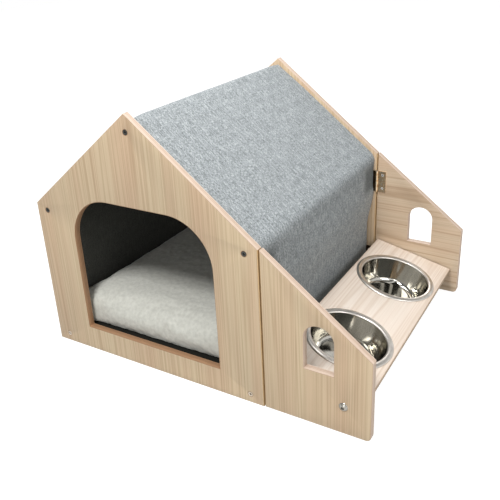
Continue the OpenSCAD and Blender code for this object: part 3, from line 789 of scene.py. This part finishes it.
finishes = {
    "_batten": pine, "floor_board": pine, "_cleat": pine,
    "_leaf": bronzed_steel, "_pin": zinc_steel, "_bolt": bolt_steel, "_insert": zinc_steel,
    "_gable_screws": gable_screw_painted_shade, "_leaf_screws": leaf_screw_painted_highlight, "_cleat_screws": zinc_steel,
}
slot_depth = 0.1 * mm
for node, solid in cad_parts.items():
    for ending, finish in finishes.items():
        if node.endswith(ending):
            solid.data.materials.clear()
            solid.data.materials.append(finish)

# The flat of a gable leaf, under the felt's edge, is painted dark as shade, and its knuckles keep the plain
# bronze
for node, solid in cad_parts.items():
    if node.endswith("_gable_leaf"):
        solid.data.materials.append(gable_leaf_painted_shade)
        axis_x = middle(node.replace("gable_leaf", "pin"))[0]
        for polygon in solid.data.polygons:
            polygon.material_index = int(axis_x - polygon.center.x > knuckle_r)

# The floors of the slots in the screws' heads are dark with dirt and painted shade, and the lower screws of
# a gable brighter than the others.
# A slot's floor faces along Y and its walls across it, and the cone under a head lies between the two.
for node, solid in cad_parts.items():
    if node.endswith("_screws"):
        lo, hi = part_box(node)
        solid.data.materials.append(slot_dirt_and_painted_shade)
        solid.data.materials.append(warm_zinc)
        for polygon in solid.data.polygons:
            depth = min(polygon.center.y - lo.y, hi.y - polygon.center.y)
            on_cone = 0.1 < abs(polygon.normal.y) < 0.99
            if depth > slot_depth and not on_cone:
                polygon.material_index = 1
            elif node.endswith("_gable_screws") and polygon.center.z < sill_h:
                polygon.material_index = 2


# Camera, as the photograph was taken, for a picture 500 pixels wide and high

image_side = 500
focal_px = 653.05
centre_px = (260.36, 215.07)
sensor_w = 36
camera_at = Vector((0.5590, -0.9587, 0.6831))
azimuth, elevation, roll = (math.radians(a) for a in (30.566, 23.10, -2.359))

camera_data = bpy.data.cameras.new("camera")
camera_data.sensor_width = sensor_w
camera_data.lens = focal_px / image_side * sensor_w
camera_data.shift_x = 0.5 - centre_px[0] / image_side
camera_data.shift_y = centre_px[1] / image_side - 0.5
camera = bpy.data.objects.new("camera", camera_data)
level = math.cos(elevation)
back = Vector((math.sin(azimuth) * level, -math.cos(azimuth) * level, math.sin(elevation)))
side = Vector((0, 0, 1)).cross(back).normalized()
aim = Matrix((side, back.cross(side), back)).transposed()
camera.matrix_world = Matrix.Translation(camera_at) @ (Matrix.Rotation(roll, 3, back) @ aim).to_4x4()
bpy.context.scene.collection.objects.link(camera)
bpy.context.scene.camera = camera


# Floor, white surroundings and soft lamps

# How bright the floor shines where it is seen, and the light that the surroundings give the object
floor_glow = 0.86
room_light = 0.28


def seen_directly(tree):
    """1 for what the camera sees, straight or by a reflection, and 0 for light that falls on the object."""
    path = add(tree, "ShaderNodeLightPath").outputs
    two_kinds = {0: path["Is Camera Ray"], 1: path["Is Glossy Ray"]}
    either = add(tree, "ShaderNodeMath", two_kinds, operation="MAXIMUM").outputs[0]
    three_kinds = {0: either, 1: path["Is Transmission Ray"]}
    return add(tree, "ShaderNodeMath", three_kinds, operation="MAXIMUM").outputs[0]


def lay_floor():
    """A pale matt floor that looks white where no shadow falls."""
    shape = bmesh.new()
    bmesh.ops.create_grid(shape, x_segments=1, y_segments=1, size=6)
    made, tree, shader = new_material("pale_matt_floor", {
        "Roughness": 0.9, "Base Color": linear("#A2A2A0"), "Emission Color": (1, 1, 1, 1),
    })
    lift = add(tree, "ShaderNodeMath", {0: seen_directly(tree), 1: floor_glow}, operation="MULTIPLY")
    tree.links.new(lift.outputs[0], shader.inputs["Emission Strength"])
    floor = new_piece("floor", shape, made)


def surround():
    """White all round, and a plain soft light from it."""
    world = bpy.data.worlds.new("studio")
    world.use_nodes = True
    tree = world.node_tree
    light = tree.nodes["Background"]
    light.inputs["Color"].default_value = (1, 1, 1, 1)
    strengths = {"Value": seen_directly(tree), "To Min": room_light, "To Max": 1.0}
    strength = add(tree, "ShaderNodeMapRange", strengths)
    tree.links.new(strength.outputs[0], light.inputs["Strength"])
    bpy.context.scene.world = world


def hang_dark_card():
    """Dark strips over the lamps, which only reflections show, so that polished steel gets dark parts."""
    card_h, half_w, half_l = 2.3, 0.3, 2.5
    shape = bmesh.new()
    for x in (-2.2, -1.3, -0.4, 0.5, 1.4, 2.3):
        near = [(x - half_w, -half_l), (x + half_w, -half_l)]
        far = [(x + half_w, half_l), (x - half_w, half_l)]
        shape.faces.new([shape.verts.new((*corner, card_h)) for corner in near + far])
    made = new_material("dark_card", {"Roughness": 1.0, "Base Color": linear("#24231E")})[0]
    card = new_piece("dark_card", shape, made)
    card.visible_camera = False
    card.visible_diffuse = False
    card.visible_transmission = False
    card.visible_shadow = False


def hang_softbox(name, at, towards, size, watts):
    """A square lamp at one point that faces another."""
    data = bpy.data.lights.new(name, "AREA")
    data.size = size
    data.energy = watts
    lamp = bpy.data.objects.new(name, data)
    lamp.location = at
    lamp.visible_camera = False
    lamp.rotation_euler = (Vector(towards) - Vector(at)).to_track_quat("-Z", "Y").to_euler()
    bpy.context.scene.collection.objects.link(lamp)


lay_floor()
surround()
hang_dark_card()
hang_softbox("front_softbox", (0.08, -1.35, 2.1), (mid_x, -0.1, 0.2), 0.5, 37)
hang_softbox("camera_softbox", (0.45, -2.0, 0.75), (mid_x, 0, 0.15), 0.8, 7.5)
hang_softbox("top_softbox", (-0.12, 0.03, 1.0), (-0.05, 0, 0.3), 0.4, 3)
hang_softbox("side_softbox", (1.3, -0.5, 0.85), (0.2, 0, 0.15), 0.7, 8)
hang_softbox("rear_softbox", (-0.5, 2.0, 1.1), (mid_x, 0.2, 0.2), 0.8, 13)
bpy.context.scene.view_settings.view_transform = "Standard"
